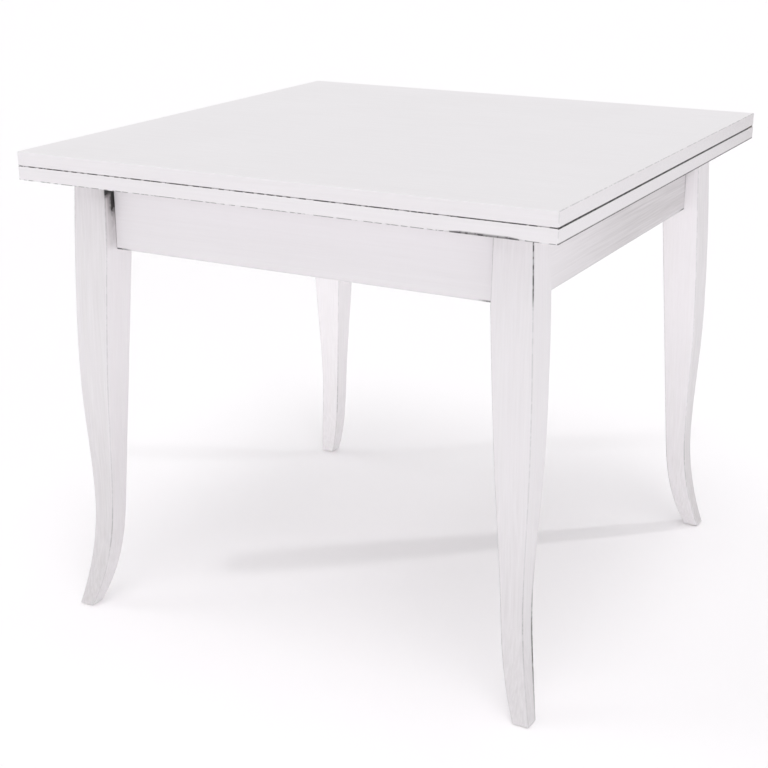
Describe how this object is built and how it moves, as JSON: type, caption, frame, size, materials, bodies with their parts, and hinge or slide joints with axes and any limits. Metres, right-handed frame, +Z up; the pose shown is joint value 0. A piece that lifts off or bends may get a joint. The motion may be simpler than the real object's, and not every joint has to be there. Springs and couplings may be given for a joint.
{
  "type": "flip-top extending table",
  "caption": "Square white-lacquered table on sabre legs whose folded top slides half its depth on runners and opens like a book on a piano hinge.",
  "frame": {"origin": "on the floor under the middle of the closed top", "axes": "+X along the front edge and the hinge line, +Y from the front towards the hinged back edge, +Z up"},
  "size_m": [0.9, 0.9035, 0.785],
  "materials": {
    "white_lacquer": "white brushed open-pore lacquer over wood, satin",
    "beech": "planed and waxed",
    "zinc_steel": "zinc plated",
    "brassed_steel": "brass plated",
    "nylon": "moulded, matt",
    "rubber": "moulded, matt"
  },
  "bodies": {
    "frame": {"leg_front_left": "white_lacquer", "leg_front_right": "white_lacquer", "leg_back_left": "white_lacquer", "leg_back_right": "white_lacquer", "apron_front": "white_lacquer", "apron_back": "white_lacquer", "apron_left": "white_lacquer", "apron_right": "white_lacquer", "corner_bracket_front_left": "zinc_steel", "corner_bracket_front_right": "zinc_steel", "corner_bracket_back_left": "zinc_steel", "corner_bracket_back_right": "zinc_steel", "hanger_bolt_front_left": "zinc_steel", "hanger_bolt_front_right": "zinc_steel", "hanger_bolt_back_left": "zinc_steel", "hanger_bolt_back_right": "zinc_steel", "leg_nut_front_left": "zinc_steel", "leg_nut_front_right": "zinc_steel", "leg_nut_back_left": "zinc_steel", "leg_nut_back_right": "zinc_steel", "foot_glide_front_left": "nylon", "foot_glide_front_right": "nylon", "foot_glide_back_left": "nylon", "foot_glide_back_right": "nylon", "glide_strip_left": "nylon", "glide_strip_right": "nylon", "glide_pad_front_left": "nylon", "glide_pad_front_right": "nylon", "glide_pad_back_left": "nylon", "glide_pad_back_right": "nylon", "guide_rail_left": "beech", "guide_rail_right": "beech", "stop_buffer_front_left": "rubber", "stop_buffer_front_right": "rubber", "stop_buffer_back_left": "rubber", "stop_buffer_back_right": "rubber"},
    "lower_leaf": {"lower_leaf_board": "white_lacquer", "runner_left": "beech", "runner_right": "beech", "hinge_leaf_lower": "brassed_steel", "hinge_pin": "zinc_steel"},
    "upper_leaf": {"upper_leaf_board": "white_lacquer", "hinge_leaf_upper": "brassed_steel"}
  },
  "joints": [
    {"name": "top_slide", "type": "slide", "parent": "frame", "child": "lower_leaf", "axis": [0, -1, 0], "range_m": [0, 0.45]},
    {"name": "leaf_flip", "type": "hinge", "parent": "lower_leaf", "child": "upper_leaf", "pos_m": [0, 0.4505, 0.76275], "axis": [-1, 0, 0], "range_deg": [0, 180]}
  ]
}
